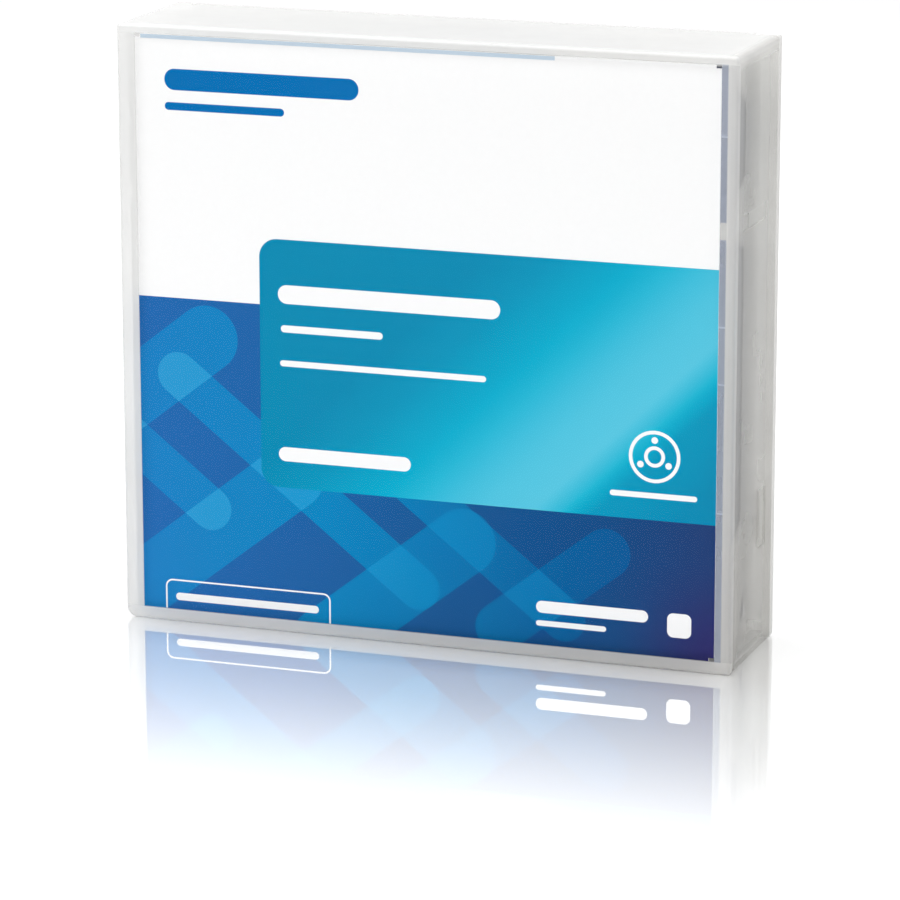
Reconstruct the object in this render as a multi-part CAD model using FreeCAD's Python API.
"""Half-inch single-reel data tape cartridge in its hinged storage case, with a printed insert card.

Millimetres. The case stands on its lower long side: +Z up, the printed front faces -Y, the hinge is on
the left at -X and the case opens on the right. The origin is the middle of the footprint, on the floor.
"""

import FreeCAD
import Part

import math
import os

V = FreeCAD.Vector
X_AXIS = V(1, 0, 0)
Y_AXIS = V(0, 1, 0)
Z_AXIS = V(0, 0, 1)

# How far joined forms run into each other, and how far a cut runs past the face that it opens
BITE = 0.5
PAST = 1.0

# Cartridge, lying in its own frame: u across, v from the insertion edge to the label edge, w upwards
CART_WIDTH = 105.4
CART_LENGTH = 102.0
CART_HEIGHT = 21.5
SHELL_WALL = 1.8
SHELL_FACE = 2.0
SHELL_CORNER_R = 2.2
SHELL_EDGE_R = 0.8

# Storage case
LID_FRONT = 1.4
LID_SIDE = 1.4
LID_END = 1.3
PLATE = 2.2
CASE_EDGE_R = 0.6
CASE_CORNER_R = 0.7
CASE_FOOT_R = 1.9
LID_INNER_CHAMFER = 0.5
RIM_GAP = 0.25
TRAY_WALL = 0.9
TRAY_END_WALL = 1.0
TRAY_SHARE = 0.5
TRAY_SIDE_CLEARANCE = 0.25
TRAY_BOTTOM_CLEARANCE = 0.1
TRAY_TOP_CLEARANCE = 0.3
HINGE_ROOM = 2.05
SWING_ROOM = 1.85
LID_BOTTOM_GAP = 0.3
LID_TOP_GAP = 1.7
SUPPORT_RISE = 1.2
SUPPORT_WIDTH = 1.2
SUPPORT_GAP = 0.2
SUPPORT_SIDE_SHARE = 0.3
SUPPORT_END_SHARE = 0.1

# Hinge and snap of the case
BARREL_R = 2.0
HINGE_PIN_R = 1.12
HINGE_PIN_LENGTH = 3.5
PIN_CLEARANCE = 0.05
HINGE_GAP = 0.3
KNUCKLE_GAP = 0.2
SNAP_Z = 18.5
SNAP_LENGTH = 9.0
SNAP_RISE = 1.4
SNAP_FROM_RIM = 3.6
SNAP_WIDTH = 2.0
SNAP_RECESS_DEPTH = 0.5
SNAP_RECESS_MARGIN = 0.8

# Insert card and what holds it behind the front panel
CARD_THICKNESS = 0.3
CARD_FRONT_GAP = 0.08
CARD_BACK_GAP = 0.07
CARD_LEFT_MARGIN = 1.5
CARD_RIGHT_MARGIN = 2.0
CARD_BOTTOM_MARGIN = 0.6
CARD_TOP_MARGIN = 0.5
CARD_NOTCH = 1.0
CARD_NOTCH_DEPTH = 0.6
HOOK_THICKNESS = 0.5
HOOK_OVERLAP = 0.6
HOOK_WIDTH = 8.0
HOOK_INSET = 26.0
HOOK_TO_CARTRIDGE = 0.15
RIB_CENTRE_SHARE = 0.72
RIB_WIDTH = 3.0
RIB_RISE = 0.6
RIB_RISE_BACK = 0.35
RIB_FRONT_SHARE = 0.5

# Scallops and the corner window in the side walls of the tray
SCALLOP_DEPTH = 6.3
SCALLOP_CHAMFER = 4.3
SCALLOP_TOP_MARGIN = 4.0
SCALLOP_BOTTOM_MARGIN = 17.0
SCALLOP_POST = 5.0
GUSSET_WINDOW = 7.0
GUSSET_WINDOW_HEIGHT = 9.8
GUSSET_WINDOW_FROM_END = 2.7
GUSSET_WINDOW_FROM_PLATE = 1.8
FINGER_GAP = 46.0
FINGER_GAP_DEPTH = 7.0

# Reel
REEL_FORWARD = 0.4
FLANGE_CLEARANCE = 0.8
LOWER_FLANGE = 1.5
UPPER_FLANGE = 1.3
TAPE_SIDE_CLEARANCE = 0.3
FLANGE_LIP = 2.0
HUB_R = 22.0
HUB_WALL = 2.5
HUB_FLOOR = 2.0
HUB_FLOOR_RAISE = 0.5
FLANGE_TO_SHELL = 0.7
UPPER_FLANGE_TO_SHELL = 0.75
HUB_HOLE_R = 16.5
DRIVE_RING_MARGIN = 1.0
DRIVE_TEETH = 21
DRIVE_TOOTH_HEIGHT = 1.0
DRIVE_TOOTH_LENGTH = 3.0
BRAKE_TEETH = 24
BRAKE_TOOTH_HEIGHT = 1.2
BRAKE_TOOTH_LENGTH = 2.2
BRAKE_TOOTH_INSET = 0.4
TOOTH_CLEARANCE = 0.12
TOOTH_ROOT = 0.2
TOOTH_ROOT_SHARE = 0.5
TOOTH_TIP_SHARE = 0.45
MAGNET_PLATE_R = 10.5
MAGNET_PLATE = 0.6

# Brake
BRAKE_TRAVEL = 1.6
BRAKE_DISC = 1.5
BRAKE_RIM_GAP = 0.5
BRAKE_POST_R = 6.6
BRAKE_POST_HEIGHT = 5.0
KEY_WIDTH = 2.2
KEY_SPAN = 9.0
KEY_CLEARANCE = 0.15
KEY_ROOM = 0.5
PAD_THICKNESS = 0.9
PAD_ARM_WIDTH = 5.0
PAD_GAP = 0.2
PAD_LEG = 2.2
PAD_LEG_CLEARANCE = 0.25
PAD_LEG_SHORT = 0.2
BRAKE_SPRING_R = 8.0
BRAKE_SPRING_WIRE = 1.1
BRAKE_SPRING_TURNS = 3.0
SPRING_SEAT_GAP = 0.1
COIL_STEPS = 8

# Leader pin with its clip, retaining springs and leader
PIN_INSET = 5.6
PIN_FROM_EDGE = 12.0
LEADER_PIN_R = 1.2
LEADER_PIN_END_R = 1.9
LEADER_PIN_END = 1.3
PIN_END_GAP = 0.1
CLIP_R = 2.1
CLIP_BORE_R = 1.3
CLIP_MOUTH = 1.8
LEADER_THICKNESS = 0.25
LEADER_GAP = 0.3
PIN_SPRING_THICKNESS = 0.4
PIN_SPRING_WIDTH = 3.0
PIN_SPRING_LENGTH = 9.0

# Access door with its spring
DOOR_THICKNESS = 1.2
DOOR_GAP = 0.12
DOOR_OVERLAP = 1.2
DOOR_TRAVEL = 15.0
OPENING_FROM_EDGE = 4.6
OPENING_SIDE_WALL = 1.3
DOOR_TAB_LENGTH = 2.0
DOOR_TAB_WIDTH = 6.0
DOOR_SPRING_SHUT = 8.0
DOOR_SPRING_FROM_PARTING = 1.0
DOOR_SPRING_R = 0.9
DOOR_SPRING_WIRE = 0.5
DOOR_SPRING_TURNS = 5.0
DOOR_STOP = 1.4

# Write-protect switch
SWITCH_FROM_SIDE = 9.0
SWITCH_LENGTH = 8.4
SWITCH_HEIGHT = 5.6
SWITCH_TRAVEL = 5.0
SWITCH_CLEARANCE = 0.2
SWITCH_FROM_FACE = 3.8
SWITCH_FLANGE = 1.0
SWITCH_FLANGE_LAP = 0.9
SWITCH_BODY_DEPTH = 3.8
SWITCH_GRIP = 0.5
SWITCH_GRIPS = 4

# Cartridge memory on its two gussets
CHIP_SIZE = 8.6
CHIP_THICKNESS = 0.6
CHIP_FROM_SIDE = 9.0
CHIP_LIFT = 0.1
CHIP_DIE_SHARE = 0.4
GUSSET_FROM_CHIP_EDGE = 0.6
GUSSET_LEG = 7.0
GUSSET_THICKNESS = 1.0

# Screws of the shell
SCREW_R = 1.05
SCREW_HEAD_R = 2.1
SCREW_HEAD = 1.1
SCREW_LENGTH = 12.0
SCREW_SINK = 0.3
SCREW_CLEARANCE = 0.1
SCREW_END_ROOM = 1.0
BOSS_WIDTH = 5.0
BOSS_INSET = 5.2
BOSS_INSET_PIN_SIDE = 8.6

# Label recess, grip ribs, side notches and the insertion mark of the shell
LABEL_LENGTH = 70.0
LABEL_WIDTH = 16.2
LABEL_DEPTH = 0.4
LABEL_INSET = 1.6
GRIP_COUNT = 4
GRIP_PITCH = 4.0
GRIP_WIDTH = 1.6
GRIP_LENGTH = 11.0
GRIP_DEPTH = 0.4
GRIP_INSET = 3.0
GRIP_FROM_LABEL_EDGE = 9.0
NOTCH_FROM_LABEL_EDGE = 16.0
NOTCH_LENGTH = 5.0
NOTCH_DEPTH = 0.9
ARROW_LENGTH = 9.0
ARROW_WIDTH = 8.0
ARROW_DEPTH = 0.3
ARROW_FROM_EDGE = 8.0
ARROW_STEM_SHARE = 0.4
ARROW_HEAD_SHARE = 0.45

# Case sizes that follow from the cartridge and the rooms round it
CASE_WIDTH = (LID_SIDE + HINGE_ROOM + TRAY_WALL + TRAY_SIDE_CLEARANCE + CART_WIDTH
              + TRAY_SIDE_CLEARANCE + TRAY_WALL + SWING_ROOM + LID_SIDE)
CASE_HEIGHT = (LID_END + LID_BOTTOM_GAP + TRAY_END_WALL + TRAY_BOTTOM_CLEARANCE + CART_LENGTH
               + TRAY_TOP_CLEARANCE + TRAY_END_WALL + LID_TOP_GAP + LID_END)
CASE_DEPTH = (LID_FRONT + CARD_FRONT_GAP + CARD_THICKNESS + CARD_BACK_GAP + HOOK_THICKNESS
              + HOOK_TO_CARTRIDGE + CART_HEIGHT + SUPPORT_GAP + SUPPORT_RISE + PLATE)
FRONT_Y = -CASE_DEPTH / 2
BACK_Y = CASE_DEPTH / 2
LEFT_X = -CASE_WIDTH / 2
RIGHT_X = CASE_WIDTH / 2
PLATE_Y = BACK_Y - PLATE
RIM_Y = PLATE_Y - RIM_GAP
LID_LEFT_X = LEFT_X + LID_SIDE
LID_RIGHT_X = RIGHT_X - LID_SIDE
LID_BOTTOM_Z = LID_END
LID_TOP_Z = CASE_HEIGHT - LID_END
LID_INNER_Y = FRONT_Y + LID_FRONT
CARD_Y = LID_INNER_Y + CARD_FRONT_GAP
HOOK_Y = CARD_Y + CARD_THICKNESS + CARD_BACK_GAP
TRAY_Y = PLATE_Y - SUPPORT_RISE - SUPPORT_GAP - CART_HEIGHT * TRAY_SHARE

# Where the cartridge stands in the case
CART_LEFT_X = LID_LEFT_X + HINGE_ROOM + TRAY_WALL + TRAY_SIDE_CLEARANCE
CART_RIGHT_X = CART_LEFT_X + CART_WIDTH
CART_X = (CART_LEFT_X + CART_RIGHT_X) / 2
CART_Z = LID_BOTTOM_Z + LID_BOTTOM_GAP + TRAY_END_WALL + TRAY_BOTTOM_CLEARANCE
CART_TOP_Z = CART_Z + CART_LENGTH
CART_BACK_Y = PLATE_Y - SUPPORT_RISE - SUPPORT_GAP
CARTRIDGE_PLACE = FreeCAD.Placement(V(CART_X, CART_BACK_Y, CART_Z), FreeCAD.Rotation(X_AXIS, 90))

# Hinge axis of the lid
HINGE_X = LEFT_X + BARREL_R
HINGE_Y = BACK_Y - BARREL_R

# Levels in the cartridge
HALF_W = CART_WIDTH / 2
PARTING_W = CART_HEIGHT / 2
INNER_TOP_W = CART_HEIGHT - SHELL_FACE
FLANGE_W = SHELL_FACE + FLANGE_TO_SHELL
UPPER_FLANGE_W = INNER_TOP_W - UPPER_FLANGE_TO_SHELL - UPPER_FLANGE
TAPE_W = FLANGE_W + LOWER_FLANGE + TAPE_SIDE_CLEARANCE
TAPE_TOP_W = UPPER_FLANGE_W - TAPE_SIDE_CLEARANCE
HUB_FLOOR_W = FLANGE_W + HUB_FLOOR_RAISE
HUB_FLOOR_TOP_W = HUB_FLOOR_W + HUB_FLOOR
BRAKE_W = HUB_FLOOR_TOP_W + BRAKE_TOOTH_HEIGHT + TOOTH_CLEARANCE
PAD_W = BRAKE_W - PAD_GAP - PAD_THICKNESS
HUB_BORE_R = HUB_R - HUB_WALL
BRAKE_R = HUB_BORE_R - BRAKE_RIM_GAP
BRAKE_RING_R = BRAKE_R - BRAKE_TOOTH_INSET
DRIVE_RING_R = HUB_HOLE_R - DRIVE_RING_MARGIN
REEL_FROM_EDGE = CART_LENGTH / 2 - REEL_FORWARD
REEL_AXIS = V(0, REEL_FROM_EDGE, 0)
FLANGE_R = min(HALF_W, REEL_FROM_EDGE) - SHELL_WALL - FLANGE_CLEARANCE
TAPE_R = FLANGE_R - FLANGE_LIP

# Leader pin and door in the cartridge
PIN_U = -HALF_W + PIN_INSET
PIN_AXIS = V(PIN_U, PIN_FROM_EDGE, 0)
OPENING_LENGTH = DOOR_TRAVEL + DOOR_TAB_LENGTH + 3 * DOOR_GAP
DOOR_U = -HALF_W + SHELL_WALL + DOOR_GAP
DOOR_BOTTOM = OPENING_FROM_EDGE - DOOR_OVERLAP
DOOR_TOP = OPENING_FROM_EDGE + OPENING_LENGTH + DOOR_OVERLAP
STOP_V = DOOR_TOP + DOOR_TRAVEL + DOOR_SPRING_SHUT

# Write-protect switch in the cartridge
SWITCH_RIGHT_U = HALF_W - SWITCH_FROM_SIDE
WINDOW_V = CART_LENGTH - SHELL_WALL


def box(x0, x1, y0, y1, z0, z1):
    """Box between two corners."""
    return Part.makeBox(x1 - x0, y1 - y0, z1 - z0, V(x0, y0, z0))


def prism(points, push):
    """Solid pushed out of a flat polygon."""
    return Part.Face(Part.makePolygon(list(points) + [points[0]])).extrude(push)


def ring(outer_r, inner_r, low, high, centre):
    """Flat ring about an axis along w, from one level to another."""
    at = V(centre.x, centre.y, low)
    disc = Part.makeCylinder(outer_r, high - low, at, Z_AXIS)
    if inner_r <= 0:
        return disc
    return disc.cut(Part.makeCylinder(inner_r, high - low, at, Z_AXIS))


def joined(shapes):
    """Union of several shapes, with faces that continue each other merged."""
    first, rest = shapes[0], shapes[1:]
    return first.fuse(rest).removeSplitter() if rest else first


def edges_along(shape, axis):
    """Straight edges parallel to an axis."""
    found = []
    for edge in shape.Edges:
        if isinstance(edge.Curve, Part.Line):
            run = edge.Vertexes[-1].Point.sub(edge.Vertexes[0].Point)
            if run.Length > 0 and abs(abs(run.normalize().dot(axis)) - 1) < 1e-6:
                found.append(edge)
    return found


def edges_in_plane(shape, axis, level):
    """Edges that lie wholly in the plane at a level along an axis."""
    return [e for e in shape.Edges if all(abs(v.Point.dot(axis) - level) < 1e-6 for v in e.Vertexes)
            and abs(e.CenterOfMass.dot(axis) - level) < 1e-6]


def coil(radius, wire_r, length, turns, base, direction):
    """Coil spring between two seats: square wire that follows its helix in short straight steps."""
    steps = round(turns * COIL_STEPS)
    rise = (length - 2 * wire_r) / steps
    turn = 2 * math.pi / COIL_STEPS
    sections = []
    for i in range(steps + 1):
        along = V(math.cos(turn * i), math.sin(turn * i), 0)
        middle = V(0, 0, wire_r + rise * i)
        sections.append([middle + along * (radius + out * wire_r) + Z_AXIS * (up * wire_r)
                         for out, up in ((-1, -1), (1, -1), (1, 1), (-1, 1))])
    faces = [sections[0][::-1], sections[-1]]
    for lower, upper in zip(sections, sections[1:]):
        for k in range(4):
            a, b, c, d = lower[k], lower[(k + 1) % 4], upper[(k + 1) % 4], upper[k]
            faces += [[a, b, c], [a, c, d]]
    shell = Part.Shell([Part.Face(Part.makePolygon(corners + [corners[0]])) for corners in faces])
    spring = Part.Solid(shell)
    if spring.Volume < 0:
        spring.reverse()
    spring.Placement = FreeCAD.Placement(base, FreeCAD.Rotation(Z_AXIS, direction))
    return spring


def teeth(count, inner_r, length, low, high, skip=None, turned=0.0):
    """Radial wedge teeth round the reel axis, from their roots at one level to their tips at another."""
    made = []
    pitch = 2 * math.pi / count
    mean_r = inner_r + length / 2
    root = mean_r * pitch * TOOTH_ROOT_SHARE / 2
    tip = root * TOOTH_TIP_SHARE
    for i in range(count):
        angle = math.degrees(pitch * i) + turned
        if skip and skip(angle):
            continue
        flank = [V(inner_r, -root, low), V(inner_r, root, low), V(inner_r, tip, high), V(inner_r, -tip, high)]
        tooth = prism(flank, V(length, 0, 0))
        tooth.rotate(V(0, 0, 0), Z_AXIS, angle)
        tooth.translate(REEL_AXIS)
        made.append(tooth)
    return made


def near_leg(angle):
    """True where a leg of the release pad passes through the ring of drive teeth."""
    return min(angle % 120, 120 - angle % 120) < 360.0 / DRIVE_TEETH


# Storage case

def under_hinge(edge):
    """Whether an edge is at the lower corner of the hinge side."""
    return edge.CenterOfMass.x < 0 and edge.CenterOfMass.z < CASE_HEIGHT / 2


def case_outline():
    """Block of the closed case with rounded corners. The one under the hinge is the roundest."""
    block = box(LEFT_X, RIGHT_X, FRONT_Y, BACK_Y, 0, CASE_HEIGHT)
    block = block.makeFillet(CASE_FOOT_R, [e for e in edges_along(block, Y_AXIS) if under_hinge(e)])
    return block.makeFillet(CASE_CORNER_R, [e for e in edges_along(block, Y_AXIS) if not under_hinge(e)])


def case_body():
    """Outer block of the closed case, with its front and back edges rounded too."""
    block = case_outline()
    rims = edges_in_plane(block, Y_AXIS, FRONT_Y) + edges_in_plane(block, Y_AXIS, BACK_Y)
    return block.makeFillet(CASE_EDGE_R, rims)


def hinge_tongues():
    """Ends of the lid's top and bottom walls that turn about the hinge axis, with their inward pins."""
    outline = case_outline()
    made = []
    neck_y = HINGE_Y - BARREL_R - HINGE_GAP - LID_END
    walls = ((0, LID_BOTTOM_Z, LID_BOTTOM_Z), (LID_TOP_Z, CASE_HEIGHT, LID_TOP_Z - HINGE_PIN_LENGTH))
    for low, high, pin_low in walls:
        neck = box(HINGE_X - BARREL_R, HINGE_X + BARREL_R, neck_y, HINGE_Y, low, high)
        lobe = Part.makeCylinder(BARREL_R, high - low, V(HINGE_X, HINGE_Y, low))
        pin = Part.makeCylinder(HINGE_PIN_R, HINGE_PIN_LENGTH, V(HINGE_X, HINGE_Y, pin_low))
        made += [neck.fuse(lobe).common(outline), pin]
    return made


def card_hooks():
    """Small tabs on all four walls that hold the insert card against the front panel."""
    top_reach = CARD_TOP_MARGIN + HOOK_OVERLAP
    bottom_reach = CARD_BOTTOM_MARGIN + HOOK_OVERLAP
    back = HOOK_Y + HOOK_THICKNESS
    made = []
    for middle in (LEFT_X + HOOK_INSET, RIGHT_X - HOOK_INSET):
        low, high = middle - HOOK_WIDTH / 2, middle + HOOK_WIDTH / 2
        made.append(box(low, high, HOOK_Y, back, LID_TOP_Z - top_reach, LID_TOP_Z + LID_END / 2))
        made.append(box(low, high, HOOK_Y, back, LID_END / 2, LID_BOTTOM_Z + bottom_reach))
    return made


def side_ribs():
    """Rib on each side wall of the lid. Its front end hooks behind the edge of the card."""
    low = CASE_HEIGHT * RIB_CENTRE_SHARE - RIB_WIDTH / 2
    high = low + RIB_WIDTH
    front = LID_INNER_Y - LID_FRONT / 2
    turn_y = FRONT_Y + CASE_DEPTH * RIB_FRONT_SHARE
    made = []
    walls = ((LID_RIGHT_X, -1, CARD_RIGHT_MARGIN, RIM_Y - LID_SIDE),
             (LID_LEFT_X, 1, CARD_LEFT_MARGIN, HINGE_Y - BARREL_R - LID_SIDE))
    for wall_x, inward, margin, end_y in walls:
        root_x = wall_x - inward * LID_SIDE / 2
        for rise, y0, y1 in ((RIB_RISE, front, turn_y), (RIB_RISE_BACK, turn_y - BITE, end_y),
                             (margin + HOOK_OVERLAP, HOOK_Y, HOOK_Y + HOOK_THICKNESS)):
            tip_x = wall_x + inward * rise
            made.append(box(min(root_x, tip_x), max(root_x, tip_x), y0, y1, low, high))
    return made


def case_lid():
    """Deep front half of the case, open at the back."""
    cavity = box(LID_LEFT_X, LID_RIGHT_X, LID_INNER_Y, BACK_Y, LID_BOTTOM_Z, LID_TOP_Z)
    cavity = cavity.makeChamfer(LID_INNER_CHAMFER, edges_in_plane(cavity, Y_AXIS, LID_INNER_Y))
    shell = case_body().common(box(LEFT_X, RIGHT_X, FRONT_Y, RIM_Y, 0, CASE_HEIGHT)).cut(cavity)
    hinge_corner = box(LEFT_X - PAST, HINGE_X + BARREL_R, HINGE_Y - BARREL_R - HINGE_GAP, BACK_Y,
                       -PAST, CASE_HEIGHT + PAST)
    shell = shell.cut(hinge_corner)
    shell = joined([shell] + hinge_tongues() + card_hooks() + side_ribs())
    snap_y = RIM_Y - SNAP_FROM_RIM
    recess = box(LID_RIGHT_X - BITE, LID_RIGHT_X + SNAP_RECESS_DEPTH,
                 snap_y - SNAP_RECESS_MARGIN, snap_y + SNAP_WIDTH + SNAP_RECESS_MARGIN,
                 SNAP_Z - SNAP_RECESS_MARGIN, SNAP_Z + SNAP_LENGTH + SNAP_RECESS_MARGIN)
    return shell.cut(recess)


def scalloped_side(x0):
    """Side wall of the tray: two chamfered scallops with a post between them, and a corner window."""
    bottom = CART_Z - TRAY_BOTTOM_CLEARANCE - TRAY_END_WALL
    top = CART_TOP_Z + TRAY_TOP_CLEARANCE + TRAY_END_WALL
    rib_z = CASE_HEIGHT * RIB_CENTRE_SHARE
    deep = TRAY_Y + SCALLOP_DEPTH
    outline = [V(x0, PLATE_Y + PLATE / 2, bottom), V(x0, TRAY_Y, bottom)]
    for low, high in ((bottom + SCALLOP_BOTTOM_MARGIN, rib_z - SCALLOP_POST / 2),
                      (rib_z + SCALLOP_POST / 2, top - SCALLOP_TOP_MARGIN)):
        outline += [V(x0, TRAY_Y, low), V(x0, deep, low + SCALLOP_CHAMFER),
                    V(x0, deep, high - SCALLOP_CHAMFER), V(x0, TRAY_Y, high)]
    outline += [V(x0, TRAY_Y, top), V(x0, PLATE_Y + PLATE / 2, top)]
    wall = prism(outline, V(TRAY_WALL, 0, 0))
    z = bottom + GUSSET_WINDOW_FROM_END
    y = PLATE_Y - GUSSET_WINDOW_FROM_PLATE
    x = x0 - PAST
    corners = [V(x, y, z), V(x, y - GUSSET_WINDOW, z), V(x, y - GUSSET_WINDOW / 2, z + GUSSET_WINDOW_HEIGHT)]
    return wall.cut(prism(corners, V(TRAY_WALL + 2 * PAST, 0, 0)))


def tray():
    """Low walls round the cartridge, standing on the back plate."""
    left = CART_LEFT_X - TRAY_SIDE_CLEARANCE - TRAY_WALL
    right = CART_RIGHT_X + TRAY_SIDE_CLEARANCE
    bottom = CART_Z - TRAY_BOTTOM_CLEARANCE - TRAY_END_WALL
    top = CART_TOP_Z + TRAY_TOP_CLEARANCE
    root_y = PLATE_Y + PLATE / 2
    floor_wall = box(left, right + TRAY_WALL, TRAY_Y, root_y, bottom, bottom + TRAY_END_WALL)
    top_wall = box(left, right + TRAY_WALL, TRAY_Y, root_y, top, top + TRAY_END_WALL)
    wide = FINGER_GAP / 2
    narrow = wide - FINGER_GAP_DEPTH
    low = top - PAST
    deep = TRAY_Y + FINGER_GAP_DEPTH
    gap = prism([V(CART_X - wide, TRAY_Y - PAST, low), V(CART_X + wide, TRAY_Y - PAST, low),
                 V(CART_X + narrow, deep, low), V(CART_X - narrow, deep, low)],
                V(0, 0, TRAY_END_WALL + 2 * PAST))
    return [scalloped_side(left), scalloped_side(right), floor_wall, top_wall.cut(gap)]


def supports():
    """Ribs on the back plate, on which the cartridge lies."""
    low = CART_Z + CART_LENGTH * SUPPORT_END_SHARE
    high = CART_TOP_Z - CART_LENGTH * SUPPORT_END_SHARE
    half = SUPPORT_WIDTH / 2
    made = []
    for side in (-1, 1):
        middle = CART_X + side * CART_WIDTH * SUPPORT_SIDE_SHARE
        made.append(box(middle - half, middle + half, PLATE_Y - SUPPORT_RISE, PLATE_Y + PLATE / 2, low, high))
    return made


def snap_nub():
    """Sloped nub on the free side of the tray, which stands in the lid's recess when the case is shut."""
    wall_x = CART_RIGHT_X + TRAY_SIDE_CLEARANCE + TRAY_WALL
    y0 = RIM_Y - SNAP_FROM_RIM
    y1 = y0 + SNAP_WIDTH
    root_x = wall_x - TRAY_WALL / 2
    tip_x = wall_x + SNAP_RISE
    side = [V(root_x, y0 - SNAP_RISE, SNAP_Z), V(wall_x, y0 - SNAP_RISE, SNAP_Z), V(tip_x, y0, SNAP_Z),
            V(tip_x, y1, SNAP_Z), V(root_x, y1, SNAP_Z)]
    return prism(side, V(0, 0, SNAP_LENGTH))


def case_base():
    """Flat back half of the case with its hinge barrel, tray, supports and snap nub."""
    body = case_body()
    barrel_low = LID_BOTTOM_Z + KNUCKLE_GAP
    barrel_high = LID_TOP_Z - KNUCKLE_GAP
    full_x = HINGE_X + BARREL_R + HINGE_GAP
    wide = body.common(box(full_x, RIGHT_X, PLATE_Y, BACK_Y, 0, CASE_HEIGHT))
    inner = body.common(box(HINGE_X, RIGHT_X, PLATE_Y, BACK_Y, barrel_low, barrel_high))
    barrel = Part.makeCylinder(BARREL_R, barrel_high - barrel_low, V(HINGE_X, HINGE_Y, barrel_low))
    base = joined([wide, inner, barrel] + tray() + supports() + [snap_nub()])
    bore_r = HINGE_PIN_R + PIN_CLEARANCE
    depth = HINGE_PIN_LENGTH + KNUCKLE_GAP
    for low in (barrel_low, barrel_high - depth):
        base = base.cut(Part.makeCylinder(bore_r, depth, V(HINGE_X, HINGE_Y, low)))
    return base


def insert_card():
    """Printed card behind the front panel, with small notches at three corners."""
    left, right = LID_LEFT_X + CARD_LEFT_MARGIN, LID_RIGHT_X - CARD_RIGHT_MARGIN
    low, high = LID_BOTTOM_Z + CARD_BOTTOM_MARGIN, LID_TOP_Z - CARD_TOP_MARGIN
    n, d = CARD_NOTCH, CARD_NOTCH_DEPTH
    corners = [(left, low), (right - n, low), (right - n, low + d), (right, low + d),
               (right, high - d), (right - n, high - d), (right - n, high),
               (left + n, high), (left + n, high - d), (left, high - d)]
    return prism([V(x, CARD_Y, z) for x, z in corners], V(0, CARD_THICKNESS, 0))


# Cartridge shell

def boss_spots():
    """Places of the four screws. The one beside the leader pin stands further in."""
    side = HALF_W - BOSS_INSET
    near_pin = -HALF_W + BOSS_INSET_PIN_SIDE
    far = CART_LENGTH - BOSS_INSET
    return [V(side, BOSS_INSET, 0), V(side, far, 0), V(-side, far, 0), V(near_pin, BOSS_INSET, 0)]


def bosses(low, high):
    """Square posts that take the screws."""
    half = BOSS_WIDTH / 2
    return [box(at.x - half, at.x + half, at.y - half, at.y + half, low, high) for at in boss_spots()]


def shell_block():
    """Rounded outer block of the cartridge."""
    block = box(-HALF_W, HALF_W, 0, CART_LENGTH, 0, CART_HEIGHT)
    block = block.makeFillet(SHELL_CORNER_R, edges_along(block, Z_AXIS))
    faces = edges_in_plane(block, Z_AXIS, 0) + edges_in_plane(block, Z_AXIS, CART_HEIGHT)
    return block.makeChamfer(SHELL_EDGE_R, faces)


def shell_cuts():
    """What is taken out of both halves: label recess, side notches, pin opening and switch window."""
    label_u = -HALF_W + LABEL_INSET
    label_w = (CART_HEIGHT - LABEL_WIDTH) / 2
    cuts = [box(label_u, label_u + LABEL_LENGTH, CART_LENGTH - LABEL_DEPTH, CART_LENGTH + PAST,
                label_w, label_w + LABEL_WIDTH)]
    notch_v = CART_LENGTH - NOTCH_FROM_LABEL_EDGE
    for low, high in ((-HALF_W - PAST, -HALF_W + NOTCH_DEPTH), (HALF_W - NOTCH_DEPTH, HALF_W + PAST)):
        cuts.append(box(low, high, notch_v - NOTCH_LENGTH, notch_v, -PAST, CART_HEIGHT + PAST))
    cuts.append(box(-HALF_W - PAST, -HALF_W + SHELL_WALL + BITE,
                    OPENING_FROM_EDGE, OPENING_FROM_EDGE + OPENING_LENGTH,
                    SHELL_FACE + OPENING_SIDE_WALL, INNER_TOP_W - OPENING_SIDE_WALL))
    c = SWITCH_CLEARANCE
    cuts.append(box(SWITCH_RIGHT_U - SWITCH_LENGTH - SWITCH_TRAVEL - c, SWITCH_RIGHT_U + c,
                    WINDOW_V - BITE, CART_LENGTH + PAST,
                    SWITCH_FROM_FACE - c, SWITCH_FROM_FACE + SWITCH_HEIGHT + c))
    return cuts


def grip_grooves(low, high):
    """Rows of shallow finger grooves along both sides of a face."""
    cuts = []
    for side in (-1, 1):
        inner = side * (HALF_W - GRIP_INSET - GRIP_LENGTH)
        outer = side * (HALF_W - GRIP_INSET)
        for i in range(GRIP_COUNT):
            v = CART_LENGTH - GRIP_FROM_LABEL_EDGE - NOTCH_FROM_LABEL_EDGE - GRIP_PITCH * i
            cuts.append(box(min(inner, outer), max(inner, outer), v - GRIP_WIDTH, v, low, high))
    return cuts


def insertion_mark():
    """Arrow sunk in the top face. It points to the edge that goes in first."""
    half = ARROW_WIDTH / 2
    stem = half * ARROW_STEM_SHARE
    neck = ARROW_FROM_EDGE + ARROW_LENGTH * ARROW_HEAD_SHARE
    end = ARROW_FROM_EDGE + ARROW_LENGTH
    low = CART_HEIGHT - ARROW_DEPTH
    points = [V(0, ARROW_FROM_EDGE, low), V(half, neck, low), V(stem, neck, low), V(stem, end, low),
              V(-stem, end, low), V(-stem, neck, low), V(-half, neck, low)]
    return prism(points, V(0, 0, ARROW_DEPTH + PAST))


def shell_cavity(low, high):
    """Room inside the shell between two levels."""
    return box(-HALF_W + SHELL_WALL, HALF_W - SHELL_WALL, SHELL_WALL, CART_LENGTH - SHELL_WALL, low, high)


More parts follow.
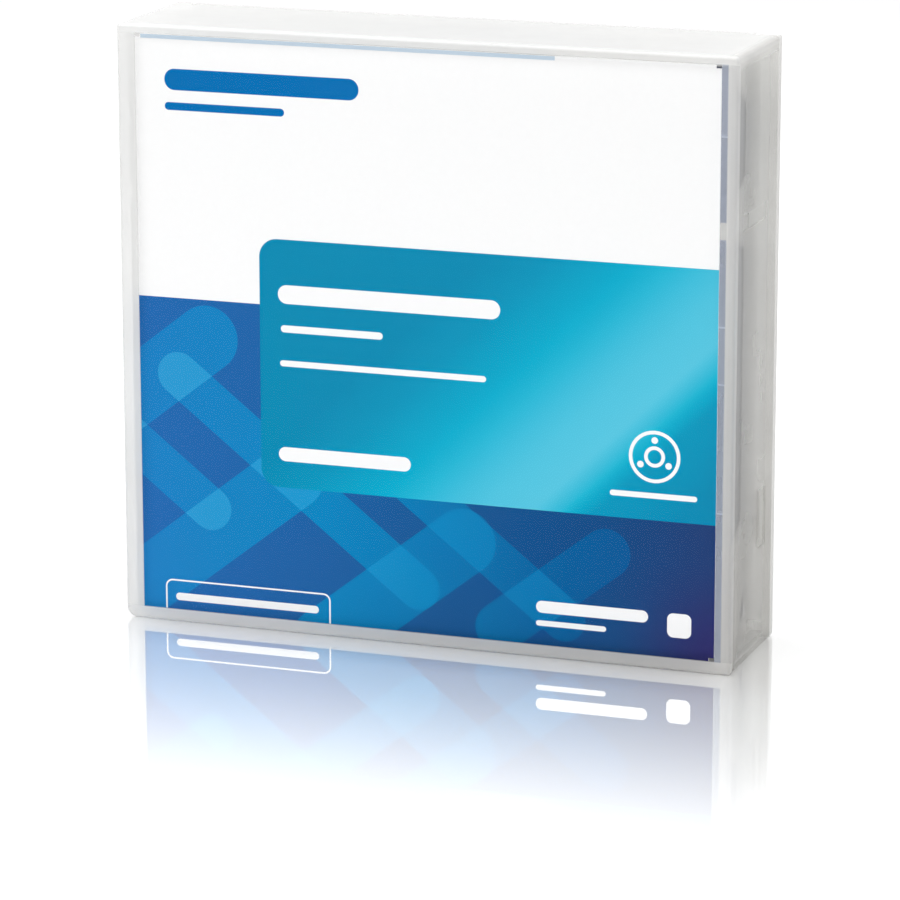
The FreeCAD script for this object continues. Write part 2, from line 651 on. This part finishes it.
def upper_shell():
    """Half of the shell with the top face, the brake's keyed post and the screw bosses."""
    half = shell_block().common(box(-HALF_W, HALF_W, 0, CART_LENGTH, PARTING_W, CART_HEIGHT))
    half = half.cut(shell_cavity(0, INNER_TOP_W))
    root_w = INNER_TOP_W + SHELL_FACE / 2
    key_low = BRAKE_W + BRAKE_DISC + BRAKE_TRAVEL + KEY_ROOM
    half = joined([half] + cross_key(0, key_low, root_w) + bosses(PARTING_W, root_w))
    cuts = shell_cuts() + grip_grooves(CART_HEIGHT - GRIP_DEPTH, CART_HEIGHT + PAST) + [insertion_mark()]
    hole_top = SCREW_SINK + SCREW_LENGTH + SCREW_END_ROOM
    cuts += [ring(SCREW_R + SCREW_CLEARANCE, 0, PARTING_W - PAST, hole_top, at) for at in boss_spots()]
    return half.cut(cuts)


def lower_shell():
    """Half of the shell with the hub opening, the door's spring stop, the chip's gussets and the bosses."""
    half = shell_block().common(box(-HALF_W, HALF_W, 0, CART_LENGTH, 0, PARTING_W))
    half = half.cut(shell_cavity(SHELL_FACE, PARTING_W))
    stop_v = STOP_V + SPRING_SEAT_GAP
    stop_reach = SHELL_WALL + 2 * DOOR_SPRING_R + DOOR_SPRING_WIRE
    stop = box(-HALF_W + SHELL_WALL / 2, -HALF_W + stop_reach, stop_v, stop_v + DOOR_STOP,
               SHELL_FACE / 2, PARTING_W)
    half = joined([half, stop] + bosses(SHELL_FACE / 2, PARTING_W) + chip_gussets())
    cuts = shell_cuts() + [ring(HUB_HOLE_R, 0, -PAST, SHELL_FACE + PAST, REEL_AXIS)]
    for at in boss_spots():
        cuts.append(ring(SCREW_R + SCREW_CLEARANCE, 0, -PAST, PARTING_W + PAST, at))
        cuts.append(ring(SCREW_HEAD_R + SCREW_CLEARANCE, 0, -PAST, SCREW_SINK + SCREW_HEAD, at))
    return half.cut(cuts)


def chip_gussets():
    """Two sloped ribs under the edges of the memory chip."""
    back = CART_LENGTH - SHELL_WALL
    left = -HALF_W + CHIP_FROM_SIDE
    low = SHELL_FACE - BITE
    high = SHELL_FACE + GUSSET_LEG
    made = []
    for u in (left + GUSSET_FROM_CHIP_EDGE, left + CHIP_SIZE - GUSSET_FROM_CHIP_EDGE - GUSSET_THICKNESS):
        slope = [V(u, back + BITE, low), V(u, back - GUSSET_LEG, low), V(u, back - GUSSET_LEG, SHELL_FACE),
                 V(u, back, high), V(u, back + BITE, high)]
        made.append(prism(slope, V(GUSSET_THICKNESS, 0, 0)))
    return made


def cross_key(margin, low, high):
    """Two crossed bars on the reel axis, on which the brake slides without turning."""
    span = KEY_SPAN / 2 + margin
    half = KEY_WIDTH / 2 + margin
    arms = [box(-span, span, -half, half, low, high), box(-half, half, -span, span, low, high)]
    for arm in arms:
        arm.translate(REEL_AXIS)
    return arms


def shell_screws():
    """Four pan-head screws that clamp the halves, as separate solids in one group."""
    made = []
    for at in boss_spots():
        head = ring(SCREW_HEAD_R, 0, SCREW_SINK, SCREW_SINK + SCREW_HEAD, at)
        shank = ring(SCREW_R, 0, SCREW_SINK + SCREW_HEAD, SCREW_SINK + SCREW_LENGTH, at)
        made.append(head.fuse(shank))
    return Part.Compound(made)


# Reel and brake

def reel_hub():
    """Hub and lower flange in one moulding, with drive teeth outside and brake teeth inside."""
    flange = ring(FLANGE_R, HUB_BORE_R, FLANGE_W, FLANGE_W + LOWER_FLANGE, REEL_AXIS)
    wall = ring(HUB_R, HUB_BORE_R, FLANGE_W, UPPER_FLANGE_W, REEL_AXIS)
    floor = ring(HUB_BORE_R + BITE, 0, HUB_FLOOR_W, HUB_FLOOR_TOP_W, REEL_AXIS)
    hub = joined([flange, wall, floor])
    outside = teeth(DRIVE_TEETH, DRIVE_RING_R - DRIVE_TOOTH_LENGTH, DRIVE_TOOTH_LENGTH,
                    HUB_FLOOR_W + TOOTH_ROOT, HUB_FLOOR_W - DRIVE_TOOTH_HEIGHT, skip=near_leg)
    inside = teeth(BRAKE_TEETH, BRAKE_RING_R - BRAKE_TOOTH_LENGTH, BRAKE_TOOTH_LENGTH,
                   HUB_FLOOR_TOP_W - TOOTH_ROOT, HUB_FLOOR_TOP_W + BRAKE_TOOTH_HEIGHT)
    hub = joined([hub] + outside + inside)
    return hub.cut(pad_legs(PAD_LEG_CLEARANCE, HUB_FLOOR_W - PAST, HUB_FLOOR_TOP_W + PAST))


def pad_legs(margin, low, high):
    """Three square legs among the drive teeth, 120 degrees apart."""
    made = []
    half = PAD_LEG / 2 + margin
    middle = DRIVE_RING_R - DRIVE_TOOTH_LENGTH / 2
    for i in range(3):
        leg = box(middle - half, middle + half, -half, half, low, high)
        leg.rotate(V(0, 0, 0), Z_AXIS, 120 * i)
        leg.translate(REEL_AXIS)
        made.append(leg)
    return made


def hub_plate():
    """Steel disc under the hub floor, by which the drive's magnet holds the reel."""
    return ring(MAGNET_PLATE_R, 0, HUB_FLOOR_W - MAGNET_PLATE, HUB_FLOOR_W, REEL_AXIS)


def reel_upper_flange():
    """Upper flange, welded on the end of the hub."""
    return ring(FLANGE_R, HUB_BORE_R, UPPER_FLANGE_W, UPPER_FLANGE_W + UPPER_FLANGE, REEL_AXIS)


def tape_pack():
    """All the turns of tape as one wound ring."""
    return ring(TAPE_R, HUB_R, TAPE_W, TAPE_TOP_W, REEL_AXIS)


def release_pad():
    """Three-armed pad between hub floor and brake, with legs that reach down among the drive teeth."""
    reach = DRIVE_RING_R - DRIVE_TOOTH_LENGTH / 2 + PAD_LEG / 2
    arms = [ring(PAD_ARM_WIDTH, 0, PAD_W, PAD_W + PAD_THICKNESS, REEL_AXIS)]
    for i in range(3):
        arm = box(0, reach, -PAD_ARM_WIDTH / 2, PAD_ARM_WIDTH / 2, PAD_W, PAD_W + PAD_THICKNESS)
        arm.rotate(V(0, 0, 0), Z_AXIS, 120 * i)
        arm.translate(REEL_AXIS)
        arms.append(arm)
    legs = pad_legs(0, HUB_FLOOR_W - DRIVE_TOOTH_HEIGHT + PAD_LEG_SHORT, PAD_W + PAD_THICKNESS / 2)
    return joined(arms + legs)


def brake_button():
    """Toothed brake disc with a post that slides on the keyed post of the upper shell."""
    floor = BRAKE_W + BRAKE_DISC
    top = floor + BRAKE_POST_HEIGHT
    disc = ring(BRAKE_R, 0, BRAKE_W, floor, REEL_AXIS)
    post = ring(BRAKE_POST_R, 0, BRAKE_W, top, REEL_AXIS)
    points = teeth(BRAKE_TEETH, BRAKE_RING_R - BRAKE_TOOTH_LENGTH, BRAKE_TOOTH_LENGTH,
                   BRAKE_W + TOOTH_ROOT, HUB_FLOOR_TOP_W + TOOTH_CLEARANCE, turned=180.0 / BRAKE_TEETH)
    return joined([disc, post] + points).cut(cross_key(KEY_CLEARANCE, floor, top + PAST))


def brake_spring():
    """Coil spring that presses the brake into the hub's teeth."""
    low = BRAKE_W + BRAKE_DISC + SPRING_SEAT_GAP
    length = INNER_TOP_W - SPRING_SEAT_GAP - low
    return coil(BRAKE_SPRING_R, BRAKE_SPRING_WIRE / 2, length, BRAKE_SPRING_TURNS,
                V(0, REEL_FROM_EDGE, low), Z_AXIS)


# Leader pin and leader

def leader_pin():
    """Turned steel pin with a collar at each end."""
    low = SHELL_FACE + PIN_END_GAP + PIN_SPRING_THICKNESS
    high = INNER_TOP_W - PIN_END_GAP - PIN_SPRING_THICKNESS
    profile = [V(0, 0, low), V(LEADER_PIN_END_R, 0, low), V(LEADER_PIN_END_R, 0, low + LEADER_PIN_END),
               V(LEADER_PIN_R, 0, low + LEADER_PIN_END), V(LEADER_PIN_R, 0, high - LEADER_PIN_END),
               V(LEADER_PIN_END_R, 0, high - LEADER_PIN_END), V(LEADER_PIN_END_R, 0, high), V(0, 0, high)]
    pin = Part.Face(Part.makePolygon(profile + [profile[0]])).revolve(V(0, 0, 0), Z_AXIS, 360)
    pin.translate(PIN_AXIS)
    return pin


def leader_pin_clip():
    """C-shaped clip that traps the end of the leader on the pin."""
    clip = ring(CLIP_R, CLIP_BORE_R, TAPE_W, TAPE_TOP_W, PIN_AXIS)
    half = CLIP_MOUTH / 2
    mouth = box(PIN_U, PIN_U + CLIP_R + PAST, PIN_FROM_EDGE - half, PIN_FROM_EDGE + half, TAPE_W, TAPE_TOP_W)
    return clip.cut(mouth)


def leader_tape():
    """Stretch of leader from the clip to the wound tape, straight and tangent to it on its lower side."""
    start = V(PIN_U + CLIP_R + LEADER_GAP / 3, PIN_FROM_EDGE, 0)
    to_reel = REEL_AXIS.sub(start)
    reel_r = TAPE_R + LEADER_GAP + LEADER_THICKNESS / 2
    run = math.sqrt(to_reel.Length ** 2 - reel_r ** 2)
    turn = math.degrees(math.atan2(to_reel.y, to_reel.x) - math.atan2(reel_r, run))
    strip = box(0, run, -LEADER_THICKNESS / 2, LEADER_THICKNESS / 2, TAPE_W, TAPE_TOP_W)
    strip.rotate(V(0, 0, 0), Z_AXIS, turn)
    strip.translate(start)
    return strip


def pin_spring(level):
    """Bent leaf that holds one end of the leader pin in its seat."""
    u0 = PIN_U - PIN_SPRING_WIDTH / 2
    leaf = box(u0, u0 + PIN_SPRING_WIDTH, PIN_FROM_EDGE - LEADER_PIN_END_R, PIN_FROM_EDGE + PIN_SPRING_LENGTH,
               level, level + PIN_SPRING_THICKNESS)
    inward = 1 if level < PARTING_W else -1
    lip_v = PIN_FROM_EDGE + LEADER_PIN_END_R + LEADER_GAP
    middle = level + PIN_SPRING_THICKNESS / 2
    low, high = sorted((middle, middle + inward * LEADER_PIN_END))
    lip = box(u0, u0 + PIN_SPRING_WIDTH, lip_v, lip_v + PIN_SPRING_THICKNESS, low, high)
    return joined([leaf, lip])


def pin_spring_lower():
    """Leaf on the inner face of the lower shell."""
    return pin_spring(SHELL_FACE + PIN_END_GAP / 2)


def pin_spring_upper():
    """Leaf on the inner face of the upper shell."""
    return pin_spring(INNER_TOP_W - PIN_END_GAP / 2 - PIN_SPRING_THICKNESS)


# Door, switch and memory

def access_door():
    """Sliding door inside the left wall, with the tab that a drive pushes."""
    low, high = SHELL_FACE + DOOR_GAP, INNER_TOP_W - DOOR_GAP
    panel = box(DOOR_U, DOOR_U + DOOR_THICKNESS, DOOR_BOTTOM, DOOR_TOP, low, high)
    middle = CART_HEIGHT / 2
    tab_v = OPENING_FROM_EDGE + DOOR_GAP
    tab = box(-HALF_W + SHELL_EDGE_R, DOOR_U + DOOR_THICKNESS / 2, tab_v, tab_v + DOOR_TAB_LENGTH,
              middle - DOOR_TAB_WIDTH / 2, middle + DOOR_TAB_WIDTH / 2)
    return joined([panel, tab])


def door_spring():
    """Coil spring that pushes the door shut."""
    reach = DOOR_SPRING_R + DOOR_SPRING_WIRE / 2
    start = DOOR_TOP + SPRING_SEAT_GAP
    base = V(DOOR_U + reach, start, PARTING_W - reach - DOOR_SPRING_FROM_PARTING)
    return coil(DOOR_SPRING_R, DOOR_SPRING_WIRE / 2, STOP_V - start, DOOR_SPRING_TURNS, base, Y_AXIS)


def write_protect_switch():
    """Slider in the window of the label edge, kept in by its inner flange, with a ribbed thumb face."""
    u1, u0 = SWITCH_RIGHT_U, SWITCH_RIGHT_U - SWITCH_LENGTH
    w0, w1 = SWITCH_FROM_FACE, SWITCH_FROM_FACE + SWITCH_HEIGHT
    outer_v = CART_LENGTH - LABEL_DEPTH
    body = box(u0, u1, outer_v - SWITCH_BODY_DEPTH, outer_v, w0, w1)
    flange_v = WINDOW_V - SWITCH_CLEARANCE
    lap = SWITCH_FLANGE_LAP
    flange = box(u0 - lap, u1 + lap, flange_v - SWITCH_FLANGE, flange_v, w0 - lap, w1 + lap)
    cuts = []
    for i in range(SWITCH_GRIPS):
        u = u0 + SWITCH_LENGTH * (i + 1) / (SWITCH_GRIPS + 1) - SWITCH_GRIP / 2
        cuts.append(box(u, u + SWITCH_GRIP, outer_v - SWITCH_GRIP, outer_v + PAST, w0 - PAST, w1 + PAST))
    return joined([body, flange]).cut(cuts)


def memory_chip():
    """Small board of the cartridge memory, leaning at 45 degrees on its gussets."""
    near = CHIP_SIZE * (1 - CHIP_DIE_SHARE) / 2
    far = CHIP_SIZE - near
    board = box(0, CHIP_SIZE, 0, CHIP_SIZE, 0, CHIP_THICKNESS)
    die = box(near, far, near, far, CHIP_THICKNESS / 2, 2 * CHIP_THICKNESS)
    board = joined([board, die])
    board.rotate(V(0, 0, 0), X_AXIS, 45)
    foot_v = CART_LENGTH - SHELL_WALL - GUSSET_LEG
    board.translate(V(-HALF_W + CHIP_FROM_SIDE, foot_v, SHELL_FACE + CHIP_LIFT))
    return board


CASE_NODES = {
    "case_lid": case_lid,
    "case_base": case_base,
    "insert_card": insert_card,
}
CARTRIDGE_NODES = {
    "upper_shell": upper_shell,
    "lower_shell": lower_shell,
    "shell_screws": shell_screws,
    "reel_hub": reel_hub,
    "hub_plate": hub_plate,
    "reel_upper_flange": reel_upper_flange,
    "tape_pack": tape_pack,
    "release_pad": release_pad,
    "brake_button": brake_button,
    "brake_spring": brake_spring,
    "leader_pin": leader_pin,
    "leader_pin_clip": leader_pin_clip,
    "leader_tape": leader_tape,
    "pin_spring_lower": pin_spring_lower,
    "pin_spring_upper": pin_spring_upper,
    "access_door": access_door,
    "door_spring": door_spring,
    "write_protect_switch": write_protect_switch,
    "memory_chip": memory_chip,
}


def main():
    os.makedirs("parts", exist_ok=True)
    for name, make in CASE_NODES.items():
        make().exportStep(f"parts/{name}.step")
    for name, make in CARTRIDGE_NODES.items():
        shape = make()
        shape.Placement = CARTRIDGE_PLACE.multiply(shape.Placement)
        shape.exportStep(f"parts/{name}.step")


main()
